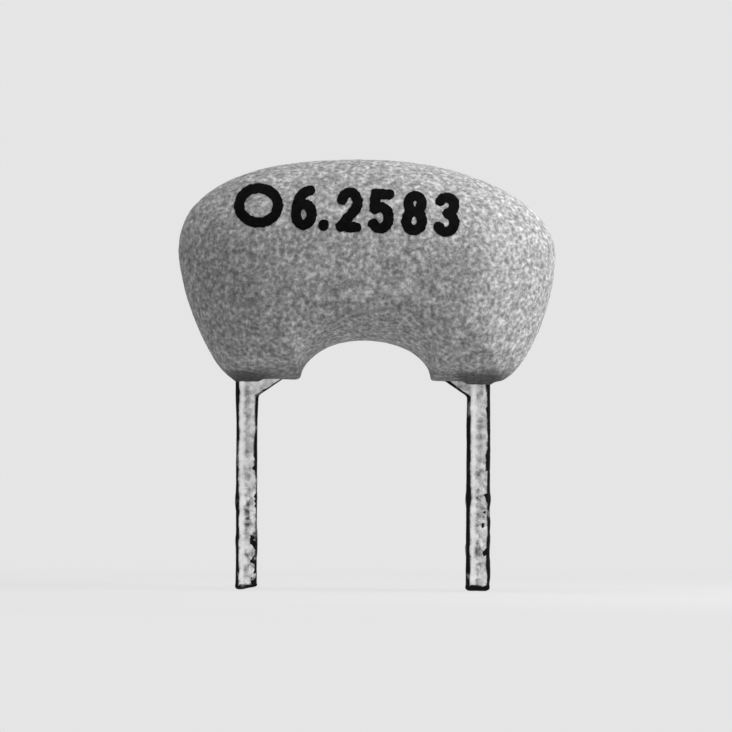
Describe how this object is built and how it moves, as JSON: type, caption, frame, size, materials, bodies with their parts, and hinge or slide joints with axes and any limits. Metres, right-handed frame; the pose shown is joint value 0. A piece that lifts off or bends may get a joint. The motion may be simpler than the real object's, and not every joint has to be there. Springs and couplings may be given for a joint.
{
  "type": "ceramic resonator",
  "caption": "Ceramic resonator: a piezo plate held in stamped, tinned through-hole leads under a dipped matte grey coat, with a 5.0 mm lead pitch.",
  "frame": {"origin": "midway between the two leads on the board surface, where the leads' shoulders stop", "axes": "+Z away from the board, +X along the row of leads, -Y out of the marked face"},
  "size_m": [0.0082, 0.0036, 0.0093],
  "materials": {
    "coat": "matte",
    "tinned_lead": "satin",
    "piezo_ceramic": "matte",
    "silver_film": "satin",
    "solder": "satin"
  },
  "bodies": {
    "root": {"coat": "coat", "piezo_plate": "piezo_ceramic", "front_electrode": "silver_film", "rear_electrode": "silver_film", "left_lead": "tinned_lead", "right_lead": "tinned_lead", "left_solder": "solder", "right_solder": "solder"}
  },
  "joints": []
}
